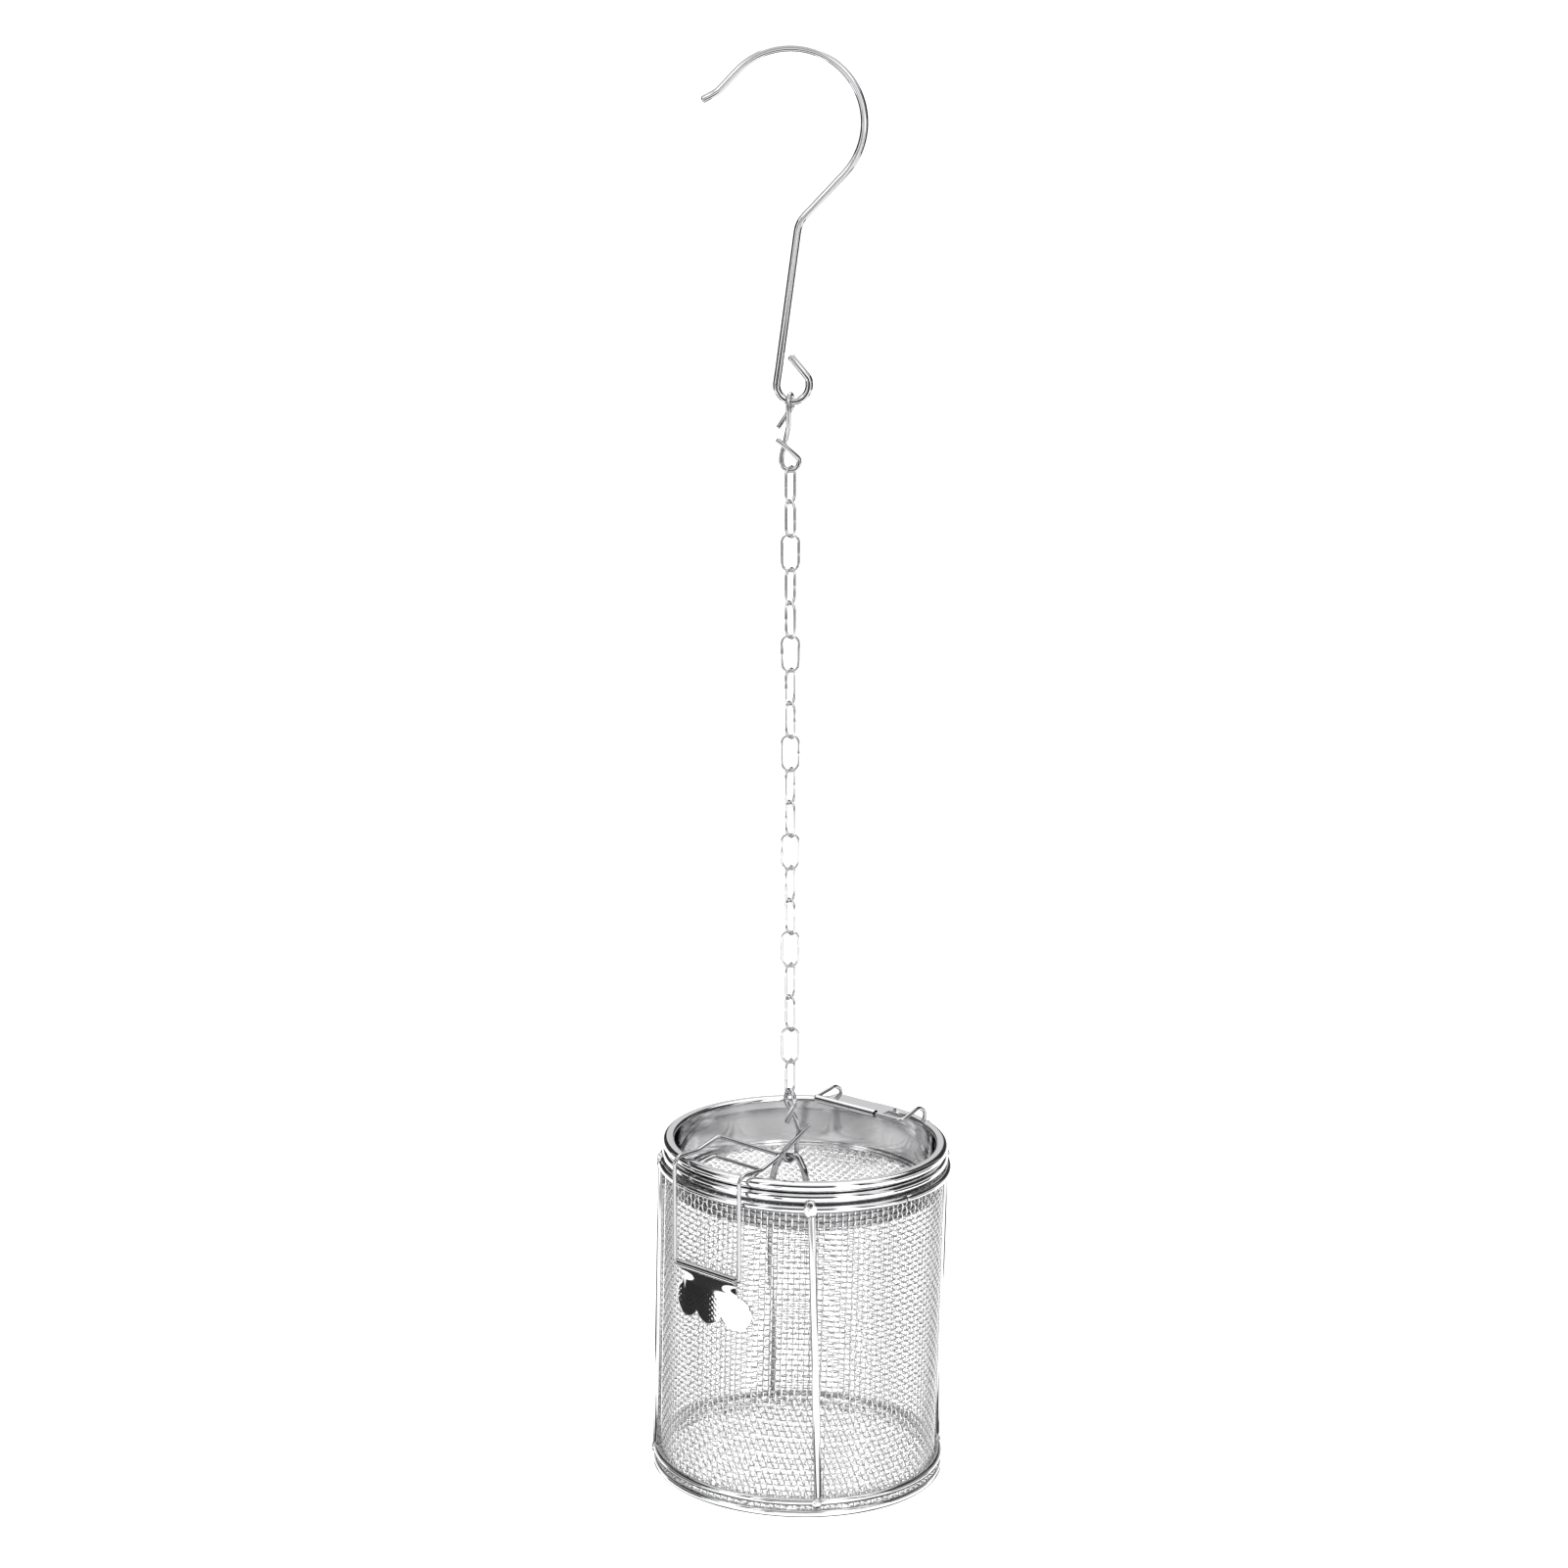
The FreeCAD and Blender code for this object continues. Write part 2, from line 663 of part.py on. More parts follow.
def latch_plate(place):
    """Sheet plate on the mesh: a barrel for the bail, a straight neck and three round lobes below it."""
    inner = N["mesh_radius"] + 0.1
    outer = inner + 0.5
    reach, z = N["latch_reach"], N["latch_z"]
    half = N["barrel_half"]
    low = z - 9.6
    neck_half = 9.1
    pitch = 8.2

    def wall(r):
        return Part.makeCylinder(r, 30, Vector(0, 0, z - 25))

    cutter = Part.makeBox(2 * neck_half, 30, 9.0, Vector(-neck_half, 20, z - 9.2))
    for x in (-pitch, 0, pitch):
        cutter = cutter.fuse(Part.makeCylinder(N["lobe_radius"], 30, Vector(x, 20, low), Y_AXIS))
    plate = wall(outer).cut(wall(inner)).common(cutter)
    barrel = Part.makeCylinder(N["barrel_outer"], 2 * half, Vector(-half, reach, z), X_AXIS)
    web = Part.makeBox(2 * half, 3.6, 1.15, Vector(-half, reach - 3.6, z - 1.05)).cut(wall(inner))
    bore = Part.makeCylinder(N["barrel_bore"], 2 * half, Vector(-half, reach, z), X_AXIS)
    shape = plate.fuse([web, barrel]).cut(bore).removeSplitter()
    return feature("latch_plate", shape, place.multiply(polar(N["latch_azimuth"])))


def latch_bail(place):
    """The spring wire bail: up from the barrel outside the rings, over the lid's bead to a thumb bar."""
    half = N["bail_half"]
    reach, z = N["latch_reach"], N["latch_z"]

    def side(sign):
        return [
            (Vector(sign * 0.15, reach, z), 0),
            (Vector(sign * half, reach, z), 1.2),
            (Vector(sign * half, 38.2, 90.3), 2.2),
            (Vector(sign * half, 29.4, 90.1), 2.5),
            (Vector(sign * (half - 0.4), 22.0, 92.2), 1.1),
        ]

    corners = side(1) + list(reversed(side(-1)))
    return bent_wire("latch_bail", corners, N["clip_wire"], place.multiply(polar(N["latch_azimuth"])))


# ---------------------------------------------------------------- assembly

def build():
    place = hang()
    pot_hook()
    chain()
    lid_collar(place)
    lid_ring(place)
    lid_mesh(place)
    lid_handle(place)
    hinge_leaf(place)
    hinge_wire(place)
    lid_catch(place)
    basket_band(place)
    basket_mesh(place)
    torus("top_ring", D["ring_radius"], D["ring_wire"], N["top_ring_z"], place)
    torus("bottom_ring", D["ring_radius"], D["ring_wire"], N["bottom_ring_z"], place)
    struts(place)
    strut_welds(place)
    bottom_mesh(place)
    bottom_rim(place)
    hinge_pin(place)
    latch_plate(place)
    latch_bail(place)


def check_and_write():
    """Stops on any failed object or bad shape, then writes one STEP file per sub-part."""
    for obj in doc.Objects:
        if "Invalid" in obj.State or "Error" in obj.State:
            raise RuntimeError(f"{obj.Name} failed: {obj.State}")
    os.makedirs("parts", exist_ok=True)
    for part in parts:
        shape = part.Shape
        if shape.isNull() or not shape.isValid() or not shape.Solids:
            raise RuntimeError(f"{part.Label} has no valid solid")
        shape.exportStep(f"parts/{part.Label}.step")
        print(f"{part.Label:16s} {shape.Volume:9.2f} mm3 in {len(shape.Solids)} solid(s)")


build()
doc.recompute()
check_and_write()
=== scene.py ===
"""Looks of the tea infuser: a woven steel basket with a clamped lid, on a chain and a pot hook.

Shapes are in millimetres and become metres when a mesh is made. The basket's and the lid's pieces are drawn
in the basket's own upright frame, whose origin is the middle of its underside. An azimuth goes from +Y
towards +X. At an azimuth's own frame, y points outwards and x runs along the rim.
"""

import json
import math

import bpy
import numpy as np
from mathutils import Matrix, Vector


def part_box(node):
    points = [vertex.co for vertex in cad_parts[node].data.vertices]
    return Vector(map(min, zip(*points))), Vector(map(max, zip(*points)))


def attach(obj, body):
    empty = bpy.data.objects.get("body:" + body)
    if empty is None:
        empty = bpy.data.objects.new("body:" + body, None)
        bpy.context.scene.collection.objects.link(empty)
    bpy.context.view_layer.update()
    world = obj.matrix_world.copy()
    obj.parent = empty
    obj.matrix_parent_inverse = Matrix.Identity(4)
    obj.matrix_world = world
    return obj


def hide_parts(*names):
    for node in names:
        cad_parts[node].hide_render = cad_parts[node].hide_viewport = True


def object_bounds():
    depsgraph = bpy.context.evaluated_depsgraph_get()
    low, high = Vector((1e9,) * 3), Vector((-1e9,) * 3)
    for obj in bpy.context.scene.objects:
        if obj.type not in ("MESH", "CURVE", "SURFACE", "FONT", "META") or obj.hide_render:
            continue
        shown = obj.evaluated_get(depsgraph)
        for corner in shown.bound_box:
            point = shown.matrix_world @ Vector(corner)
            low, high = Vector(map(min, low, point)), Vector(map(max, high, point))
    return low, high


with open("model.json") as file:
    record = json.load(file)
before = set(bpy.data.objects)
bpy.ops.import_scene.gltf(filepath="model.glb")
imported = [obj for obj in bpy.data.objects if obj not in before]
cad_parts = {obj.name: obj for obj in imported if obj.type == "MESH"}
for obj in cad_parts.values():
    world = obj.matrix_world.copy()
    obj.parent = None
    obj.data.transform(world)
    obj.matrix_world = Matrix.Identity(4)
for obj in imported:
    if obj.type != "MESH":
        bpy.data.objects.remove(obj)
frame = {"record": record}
cad_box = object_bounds()

MM = 0.001
TAU = 2 * math.pi

# chain and S-hooks
LINK_COUNT = 19
LINK_WIDTH = 4.95
LINK_TURN = 60.0
UPRIGHT_LINK = 3
SHOOK_DROP = 19.0
SHOOK_LOOP = 2.2

# wires, diameters
HOOK_WIRE = 1.9
SHOOK_WIRE = 1.25
LINK_WIRE = 0.75
RING_WIRE = 2.0
HANDLE_WIRE = 1.8
CLIP_WIRE = 1.1
PIN_WIRE = 1.2
CATCH_WIRE = 1.0
MESH_WIRE = 0.38
MESH_PITCH = 1.59
ROW_PITCH = 1.47

# basket and lid, heights above the underside and radii
RING_RADIUS = 37.1
TOP_RING_Z = 82.5
BOTTOM_RING_Z = 4.0
MESH_RADIUS = 36.05
BAND_BORE = 34.75
BAND_OUTER = 37.0
LID_OUTER = 37.0
LID_SEAT = 86.7
LID_TOP = 89.2
PLUG_FLOOR = 75.4
SHEET = 0.45
HINGE_AZIMUTH = 38.0
HINGE_REACH = 37.25
HINGE_Z = 85.6
HINGE_EYES = (-15.9, 11.9)
LATCH_AZIMUTH = 221.0
LATCH_REACH = 37.25
LATCH_Z = 62.2
LEAF_REACH = 25.0
LEAF_Z = 90.35
BARREL_RADIUS = 1.05
BARREL_BORE = 0.62
BARREL_HALF = 9.7
WIRE_GAP = 0.08
# a strut's (foot, head) azimuths
STRUTS = {"rear": (-10.0, -15.0), "right": (80.0, 80.0), "front": (172.1, 177.6), "left": (266.0, 266.0)}


# ---------------------------------------------------------------- places

def joint_place(name):
    """A joint's place in millimetres."""
    joint = next(j for j in frame["record"]["behaviour"]["joints"] if j["name"] == name)
    return Vector(joint["pos_m"]) / MM


def middle(node_name):
    low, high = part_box(node_name)
    return (Vector(low) + Vector(high)) / 2


def basket_frame():
    """The basket's upright frame: its axis runs through the middles of the two wire rings."""
    up = (middle("top_ring") - middle("bottom_ring")).normalized()
    turn = Vector((0, 0, 1)).rotation_difference(up).to_matrix().to_4x4()
    return Matrix.Translation(middle("bottom_ring") - up * BOTTOM_RING_Z * MM) @ turn


def polar(azimuth):
    return Matrix.Rotation(-math.radians(azimuth), 4, "Z")


def spin(degrees):
    return Matrix.Rotation(math.radians(degrees), 4, "Z")


BASKET = basket_frame()


# ---------------------------------------------------------------- meshes

def piece(name, shapes, slot, body, nodes, place=None, look=None):
    """Makes a piece from (vertices, faces) shapes in millimetres and ties it to its body and CAD nodes.

    look names a finish other than its slot's own.
    """
    vertices, faces, base = [], [], 0
    for points, polygons in shapes:
        vertices.append(np.asarray(points, float))
        faces += [[i + base for i in polygon] for polygon in polygons]
        base += len(points)
    mesh = bpy.data.meshes.new(name)
    mesh.from_pydata((np.vstack(vertices) * MM).tolist(), [], faces)
    mesh.shade_smooth()
    mesh.set_sharp_from_angle(angle=math.radians(35))
    mesh.materials.append(LOOKS[look or slot])
    made = bpy.data.objects.new(name, mesh)
    bpy.context.scene.collection.objects.link(made)
    if place is not None:
        made.matrix_world = place
    bpy.context.view_layer.update()
    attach(made, body)
    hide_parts(*nodes)
    return made


def rounded(corners, closed=False, step=12.0):
    """Points along straight runs joined by tangent arcs. A corner is (point, bend radius)."""
    spots = [np.asarray(c[0], float) for c in corners]
    count = len(corners)
    points = []
    for i, (_, radius) in enumerate(corners):
        here = spots[i]
        if radius == 0 or (not closed and i in (0, count - 1)):
            points.append(here)
            continue
        back = spots[i - 1] - here
        ahead = spots[(i + 1) % count] - here
        back /= np.linalg.norm(back)
        ahead /= np.linalg.norm(ahead)
        half = math.acos(np.clip(back @ ahead, -1, 1)) / 2
        centre = here + (back + ahead) / np.linalg.norm(back + ahead) * radius / math.sin(half)
        first = here + back * radius / math.tan(half) - centre
        last = here + ahead * radius / math.tan(half) - centre
        turn = math.pi - 2 * half
        steps = max(2, math.ceil(math.degrees(turn) / step))
        for k in range(steps + 1):
            t = k / steps
            a, b = math.sin((1 - t) * turn), math.sin(t * turn)
            points.append(centre + (first * a + last * b) / math.sin(turn))
    keep = [points[0]]
    for p in points[1:]:
        if np.linalg.norm(p - keep[-1]) > 1e-4:
            keep.append(p)
    return np.array(keep)


def carried(path, closed):
    """One direction square to the path at each point, carried along it without twist."""
    tangent = np.roll(path, -1, 0) - np.roll(path, 1, 0) if closed else np.gradient(path, axis=0)
    tangent /= np.linalg.norm(tangent, axis=1)[:, None]
    axis = np.eye(3)[np.argmin(np.abs(tangent[0]))]
    normal = np.cross(tangent[0], axis)
    normals = []
    for t in tangent:
        normal = normal - t * (normal @ t)
        normal = normal / np.linalg.norm(normal)
        normals.append(normal)
    return np.array(normals)


def sweep(path, radius, sides=12, normals=None, closed=False):
    """A round wire along a path, as (vertices, faces). radius is one number or one for each point."""
    path = np.asarray(path, float)
    count = len(path)
    tangent = np.roll(path, -1, 0) - np.roll(path, 1, 0) if closed else np.gradient(path, axis=0)
    tangent /= np.linalg.norm(tangent, axis=1)[:, None]
    normals = carried(path, closed) if normals is None else normals
    side = np.cross(tangent, normals)
    side /= np.linalg.norm(side, axis=1)[:, None]
    up = np.cross(side, tangent)
    angle = np.arange(sides) * TAU / sides
    ring = up[:, None] * np.cos(angle)[None, :, None] + side[:, None] * np.sin(angle)[None, :, None]
    reach = np.broadcast_to(radius, count)[:, None, None]
    vertices = (path[:, None] + ring * reach).reshape(-1, 3)
    spans = np.arange(count if closed else count - 1)
    i = (spans * sides)[:, None]
    k = (((spans + 1) % count) * sides)[:, None]
    j = np.arange(sides)[None]
    n = (j + 1) % sides
    faces = np.stack([i + j, i + n, k + n, k + j], axis=2).reshape(-1, 4).tolist()
    if not closed:
        last = (count - 1) * sides
        faces += [list(reversed(range(sides))), [last + s for s in range(sides)]]
    return vertices, faces


def wire(corners, diameter, sides=14, step=10.0):
    """A bent wire with domed ends, as (vertices, faces)."""
    path = rounded(corners, step=step)
    r = diameter / 2
    head, tail = path[0] - path[1], path[-1] - path[-2]
    head /= np.linalg.norm(head)
    tail /= np.linalg.norm(tail)
    dome = [math.radians(a) for a in (25, 50, 72)]
    squash = 0.45
    first = [path[0] - head * r * squash * (1 - math.sin(a)) for a in reversed(dome)]
    last = [path[-1] - tail * r * squash * (1 - math.sin(a)) for a in dome]
    path[0] = path[0] - head * r * squash
    path[-1] = path[-1] - tail * r * squash
    radii = [r * math.cos(a) for a in reversed(dome)] + [r] * len(path) + [r * math.cos(a) for a in dome]
    return sweep(np.vstack([first, path, last]), np.array(radii), sides)


def lathe(outline, segments=288, bulge=None):
    """A closed (radius, height) outline turned about the axis. bulge(angle, radius, height) widens it."""
    outline = np.asarray(outline, float)
    nxt = np.roll(outline, -1, 0)
    if np.sum(outline[:, 0] * nxt[:, 1] - nxt[:, 0] * outline[:, 1]) < 0:
        outline = outline[::-1]
    count = len(outline)
    angle = np.arange(segments) * TAU / segments
    r = np.broadcast_to(outline[None, :, 0], (segments, count)).copy()
    z = np.broadcast_to(outline[None, :, 1], (segments, count))
    if bulge is not None:
        r = r + bulge(angle[:, None], r, z)
    vertices = np.stack([r * np.sin(angle)[:, None], r * np.cos(angle)[:, None], z], axis=2).reshape(-1, 3)
    s = np.arange(segments)[:, None]
    t = (s + 1) % segments
    k = np.arange(count)[None]
    m = (k + 1) % count
    faces = np.stack([s * count + k, s * count + m, t * count + m, t * count + k], axis=2)
    return vertices, faces.reshape(-1, 4).tolist()


def prism(outline, x0, x1):
    """A closed (y, z) outline drawn out along x."""
    outline = np.asarray(outline, float)
    nxt = np.roll(outline, -1, 0)
    if np.sum(outline[:, 0] * nxt[:, 1] - nxt[:, 0] * outline[:, 1]) < 0:
        outline = outline[::-1]
    count = len(outline)
    vertices = np.vstack([np.insert(outline, 0, x, axis=1) for x in (x0, x1)])
    faces = [[k, (k + 1) % count, (k + 1) % count + count, k + count] for k in range(count)]
    faces += [list(reversed(range(count))), [k + count for k in range(count)]]
    return vertices, faces


def sheet_of(outer, inner):
    """A closed sheet from two (columns, rows, 3) grids, the first facing outwards."""
    columns, rows = outer.shape[:2]
    size = columns * rows
    vertices = np.vstack([outer.reshape(-1, 3), inner.reshape(-1, 3)])
    faces = []
    for c in range(columns - 1):
        for r in range(rows - 1):
            a, b = c * rows + r, (c + 1) * rows + r
            faces.append([a, a + 1, b + 1, b])
            faces.append([size + a, size + b, size + b + 1, size + a + 1])
    edge = [c * rows for c in range(columns)]
    edge += [(columns - 1) * rows + r for r in range(1, rows)]
    edge += [c * rows + rows - 1 for c in range(columns - 2, -1, -1)]
    edge += [r for r in range(rows - 2, 0, -1)]
    for k, a in enumerate(edge):
        b = edge[(k + 1) % len(edge)]
        faces.append([a, b, size + b, size + a])
    return vertices, faces


def blob(centre, reach, seed, rings=14, sectors=20):
    """A weld bead: an uneven rounded lump."""
    rough = np.random.default_rng(seed).uniform(0, TAU, 6)
    theta = np.linspace(0, math.pi, rings + 2)[1:-1]
    phi = np.arange(sectors) * TAU / sectors
    t, f = np.meshgrid(theta, phi, indexing="ij")
    way = np.stack([np.sin(t) * np.cos(f), np.sin(t) * np.sin(f), np.cos(t)], axis=2)
    lump = 1 + 0.07 * np.sin(3 * way[..., 0] * 2 + rough[0]) * np.sin(4 * way[..., 2] + rough[1])
    lump += 0.05 * np.sin(7 * way[..., 1] + rough[2]) * np.sin(6 * way[..., 0] + rough[3])
    points = way * lump[..., None] * np.asarray(reach)
    poles = np.array([[0, 0, reach[2]], [0, 0, -reach[2]]])
    vertices = np.vstack([points.reshape(-1, 3), poles]) + np.asarray(centre)
    faces = []
    for r in range(rings - 1):
        for s in range(sectors):
            n = (s + 1) % sectors
            faces.append([r * sectors + s, (r + 1) * sectors + s, (r + 1) * sectors + n, r * sectors + n])
    top, low = rings * sectors, rings * sectors + 1
    for s in range(sectors):
        n = (s + 1) % sectors
        faces.append([top, s, n])
        faces.append([low, (rings - 1) * sectors + n, (rings - 1) * sectors + s])
    return vertices, faces


def moved(shape, matrix):
    """The shape carried by a matrix in millimetres."""
    vertices, faces = shape
    turn = np.array(matrix.to_3x3())
    return np.asarray(vertices) @ turn.T + np.array(matrix.translation), faces


# ---------------------------------------------------------------- materials

def node(tree, kind, **values):
    made = tree.nodes.new(kind)
    for key, value in values.items():
        if key in made.inputs:
            made.inputs[key].default_value = value
        else:
            setattr(made, key, value)
    return made


def remap(tree, source, span, result):
    """A node output carried from one (low, high) range to another."""
    made = node(tree, "ShaderNodeMapRange")
    for key, value in zip(("From Min", "From Max", "To Min", "To Max"), (*span, *result)):
        made.inputs[key].default_value = value
    tree.links.new(source, made.inputs["Value"])
    return made.outputs["Result"]


def steel(name, tint, rough, grain, streak=(1, 1, 1), bump=0.02):
    """Stainless steel. rough is the (least, most) roughness, grain the size of its marks in millimetres.

    streak stretches the marks: a small number on an axis draws them out along it.
    """
    material = bpy.data.materials.new(name)
    material.use_nodes = True
    tree = material.node_tree
    shader = tree.nodes["Principled BSDF"]
    shader.inputs["Metallic"].default_value = 1.0
    link = tree.links.new
    place = node(tree, "ShaderNodeTexCoord").outputs["Object"]
    scale = 1 / (grain * MM)
    marks = node(tree, "ShaderNodeMapping")
    marks.inputs["Scale"].default_value = [scale * s for s in streak]
    link(place, marks.inputs["Vector"])
    fine = node(tree, "ShaderNodeTexNoise", Scale=1.0, Detail=5.0, Roughness=0.6)
    link(marks.outputs["Vector"], fine.inputs["Vector"])
    cloud = node(tree, "ShaderNodeTexNoise", Scale=0.07 / MM, Detail=3.0, Roughness=0.5)
    link(place, cloud.inputs["Vector"])
    both = node(tree, "ShaderNodeMath", operation="MULTIPLY")
    link(fine.outputs["Fac"], both.inputs[0])
    link(cloud.outputs["Fac"], both.inputs[1])
    link(remap(tree, both.outputs[0], (0.12, 0.42), rough), shader.inputs["Roughness"])
    shade = node(tree, "ShaderNodeMixRGB", blend_type="MIX")
    shade.inputs["Color1"].default_value = (*[c * 0.93 for c in tint], 1)
    shade.inputs["Color2"].default_value = (*tint, 1)
    link(cloud.outputs["Fac"], shade.inputs["Fac"])
    link(shade.outputs["Color"], shader.inputs["Base Color"])
    relief = node(tree, "ShaderNodeBump", Strength=bump, Distance=0.05 * MM)
    link(fine.outputs["Fac"], relief.inputs["Height"])
    link(relief.outputs["Normal"], shader.inputs["Normal"])
    return material


LOOKS = {
    "hook_wire": steel("steel_hook_wire", (0.50, 0.50, 0.51), (0.08, 0.16), 0.3, bump=0.03),
    "chain_wire": steel("steel_chain_wire", (0.58, 0.58, 0.59), (0.09, 0.20), 0.3, bump=0.08),
    "frame_wire": steel("steel_frame_wire", (0.70, 0.70, 0.71), (0.06, 0.15), 0.3, bump=0.08),
    "polished_sheet": steel("steel_sheet", (0.76, 0.76, 0.77), (0.04, 0.10), 0.2, (0.2, 0.2, 1.5), 0.06),
    # painted shade: the skirt's look is a dark, rough copy of the sheet steel that stands in for the shade
    # inside the weave
    "skirt": steel("steel_skirt_painted_shade", (0.30, 0.30, 0.31), (0.25, 0.40), 0.2, bump=0.05),
    "woven_mesh": steel("steel_mesh", (0.82, 0.82, 0.82), (0.22, 0.38), 0.15, bump=0.25),
    "weld": steel("steel_weld", (0.70, 0.695, 0.685), (0.12, 0.30), 0.4, bump=0.4),
}


# ---------------------------------------------------------------- hook, S-hooks, chain

def pot_hook():
    arc = 18.1
    eye_low = joint_place("hook_swing").z
    eye_x, eye_r = 0.3, 4.2
    centre = np.array([0, 0, HOOK_WIRE / 2 - arc])

    def on_arc(angle, radius):
        return centre + radius * np.array([math.cos(math.radians(angle)), 0, math.sin(math.radians(angle))])

    lip_angle, run_angle, steps = 136.4, -42.6, 3
    span = (lip_angle - run_angle) / steps
    far = arc / math.cos(math.radians(span / 2))
    lip_start = on_arc(lip_angle, arc) + on_arc(lip_angle + 90, 6.7) - centre
    lip_end = lip_start + np.array([-0.878, 0, -0.478]) * 4.4
    corners = [(lip_end, 0), (lip_start, 6.0)]
    corners += [(on_arc(lip_angle - span * (i + 0.5), far), arc * 0.9999) for i in range(steps)]
    corners += [
        ((2.0, 0, -41.2), 7.0),
        ((-2.75, 0, -76.5), 12.0),
        ((eye_x - eye_r - 0.15, 0, eye_low), eye_r * 0.97),
        ((eye_x + eye_r + 0.35, 0, eye_low), eye_r * 0.97),
        ((eye_x + eye_r + 0.1, 0, eye_low + 5.6), 2.2),
        ((-0.15, 0, -73.9), 0),
    ]
    piece("hook_wire", [wire(corners, HOOK_WIRE, 24, 4)], "hook_wire", "hook", ["pot_hook"])


def s_hook(name, top, upper_turn, upper_tail, stem, lower_turn, lower_tail):
    """Two loops in different planes, with tails that cross beside the stem. Points are from the upper top."""
    r, low = SHOOK_LOOP, -SHOOK_DROP

    def side(turn, sign, height):
        a = math.radians(turn)
        return sign * r * math.cos(a), sign * r * math.sin(a), height

    corners = [
        (upper_tail, 0),
        (side(upper_turn, -1, -3.4), 1.5),
        (side(upper_turn, -1, 0), r * 0.99),
        (side(upper_turn, 1, 0), r * 0.99),
        (side(upper_turn, 1, -3.6), 3.0),
    ]
    corners += [(point, 3.0) for point in stem]
    corners += [
        (side(lower_turn, -1, low + 3.4), 3.0),
        (side(lower_turn, -1, low), r * 0.99),
        (side(lower_turn, 1, low), r * 0.99),
        (side(lower_turn, 1, low + 2.9), 1.4),
        (lower_tail, 0),
    ]
    bend = [((x, y, z + top), radius) for (x, y, z), radius in corners]
    piece(f"{name}_wire", [wire(bend, SHOOK_WIRE, 18, 7)], "hook_wire", name, [name])


def s_hooks():
    top = joint_place("link_01_swing").z + SHOOK_DROP
    s_hook("upper_s_hook", top, -103.0, (-3.1, 0.9, -8.6), [(-0.5, -1.0, -8.0), (-1.2, 0, -11.4)],
           0.0, (-3.3, -2.5, -10.8))
    top = joint_place("handle_swing").z + SHOOK_DROP
    s_hook("lower_s_hook", top, 120.0, (-0.9, -1.5, -8.4), [(1.4, 1.2, -8.0), (2.3, 1.1, -11.5)],
           220.0, (5.2, -0.4, -9.3))


def chain_link(number):
    """An obround link whose wire ends meet in a small butt weld on one side."""
    name = f"chain_link_{number:02d}"
    low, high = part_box(name)
    middle_z = (low[2] + high[2]) / 2 / MM
    side = (LINK_WIDTH - LINK_WIRE) / 2
    half = (high[2] - low[2]) / 2 / MM - LINK_WIRE / 2
    corners = [((s * side, 0, h * half), side * 0.999) for s, h in ((1, 1), (-1, 1), (-1, -1), (1, -1))]
    path = rounded(corners, closed=True, step=15)
    runs = []
    for here, there in zip(path, np.roll(path, -1, 0)):
        runs.append(here)
        if np.linalg.norm(there - here) > 1.5:
            runs += [here + (there - here) * t for t in (0.2, 0.42, 0.47, 0.5, 0.53, 0.58, 0.8)]
    path = np.array(runs)
    weld = np.exp(-((path[:, 2] / 0.22) ** 2)) * (path[:, 0] > 0)
    shape = sweep(path, LINK_WIRE / 2 * (1 + 0.13 * weld), 12, closed=True)
    place = Matrix.Translation((0, 0, middle_z * MM)) @ spin((number - UPRIGHT_LINK) * LINK_TURN)
    piece(f"link_{number:02d}_wire", [shape], "chain_wire", f"link_{number:02d}", [name], place)


# ---------------------------------------------------------------- lid

def lid_collar():
    outline = rounded([
        ((33.25, PLUG_FLOOR), 0.1), ((34.22, 86.3), 0.5),
        ((34.5, LID_SEAT), 0.15), ((LID_OUTER, LID_SEAT), 1.2),
        ((LID_OUTER, LID_TOP), 1.2), ((33.75, LID_TOP), 1.0), ((33.7, 86.4), 3.0), ((32.8, 77.65), 2.0),
        ((32.8, PLUG_FLOOR), 0.1),
    ], closed=True)
    seam = math.radians(78.0)

    def lap(angle, radius, height):
        """The collar's ends overlap in an upright seam: the inner face steps in by part of the sheet."""
        away = (angle - seam + math.pi) % TAU - math.pi
        step = (away < 0) * np.exp(-((away / 0.20) ** 2))
        inside = (radius < 33.9) & (height < 88.0) & (height > 76.0)
        return -0.16 * step * inside

    piece("lid_collar_sheet", [lathe(outline, 360, lap)], "polished_sheet", "lid", ["lid_collar"], BASKET)


def lid_hem():
    outline = rounded([
        ((32.77, 75.6), 0.1), ((32.77, 77.55), 0.35), ((32.05, 77.55), 0.3), ((32.0, 76.95), 0.08),
        ((31.75, 76.95), 0.08), ((31.3, 77.05), 0.25), ((31.3, 75.65), 0.35), ((32.0, 75.6), 0.1),
    ], closed=True, step=20)
    piece("lid_hem_ring", [lathe(outline)], "polished_sheet", "lid", ["lid_ring"], BASKET)


def disc_weave(radius, height, turn):
    """Two crossed sets of crimped wires over a round floor, as two shapes."""
    half = MESH_WIRE / 2
    count = int(radius // MESH_PITCH)
    sets = []
    for way in (0, 1):
        wires = []
        for i in range(-count, count + 1):
            across = i * MESH_PITCH
            reach = math.sqrt(max(radius**2 - across**2, 0.01))
            if reach < MESH_PITCH:
                continue
            last = int((reach - 0.35 * MESH_PITCH) // MESH_PITCH)
            path = [(across, -reach, height)]
            for j in range(-last, last + 1):
                lift = half * (1 if (i + j + way) % 2 else -1)
                path += [(across, (j + d) * MESH_PITCH, height + lift) for d in (-0.2, 0.2)]
            path.append((across, reach, height))
            path = np.array(path)
            if way:
                path = path[:, [1, 0, 2]]
            up = np.tile([0.0, 0.0, 1.0], (len(path), 1))
            wires.append(moved(sweep(path, half, 6, up), spin(turn)))
        sets.append(wires)
    return sets


def lid_weave():
    for name, wires in zip(("warp", "weft"), disc_weave(radius=32.2, height=75.82, turn=21.0)):
        piece(f"lid_{name}", wires, "woven_mesh", "lid", ["lid_mesh"], BASKET)


